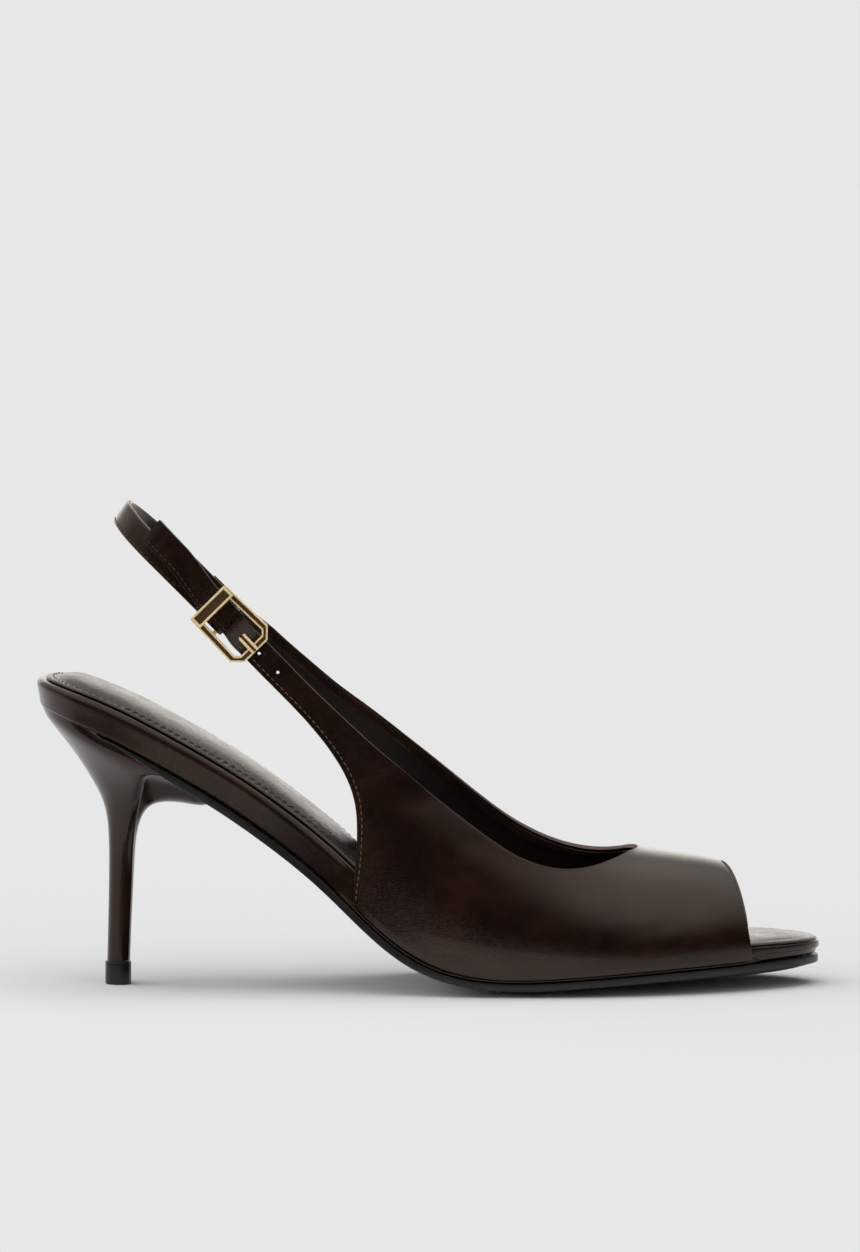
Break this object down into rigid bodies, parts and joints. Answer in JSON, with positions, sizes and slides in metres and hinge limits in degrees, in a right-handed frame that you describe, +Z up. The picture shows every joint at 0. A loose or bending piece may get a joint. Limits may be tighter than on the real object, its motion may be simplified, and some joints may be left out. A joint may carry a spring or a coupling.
{
  "type": "slingback sandal",
  "caption": "Right slingback sandal with a peep toe, open waist, buckled heel strap and high slim heel.",
  "frame": {"origin": "on the floor under the middle of the shoe's length and width", "axes": "+X to the toe, -Y to the outer (lateral) side, +Z up"},
  "size_m": [0.2274, 0.0807, 0.1411],
  "materials": {
    "upper_leather": "glossy",
    "board_leather": "glossy",
    "sock_leather": "satin",
    "sole_leather": "satin",
    "heel_leather": "glossy",
    "top_lift_rubber": "matte",
    "gold_metal": "polished"
  },
  "bodies": {
    "root": {"upper": "upper_leather", "sling_strap": "upper_leather", "footbed": "board_leather", "sock": "sock_leather", "outsole": "sole_leather", "heel": "heel_leather", "top_lift": "top_lift_rubber", "buckle_frame": "gold_metal", "buckle_prong": "gold_metal"}
  },
  "joints": []
}
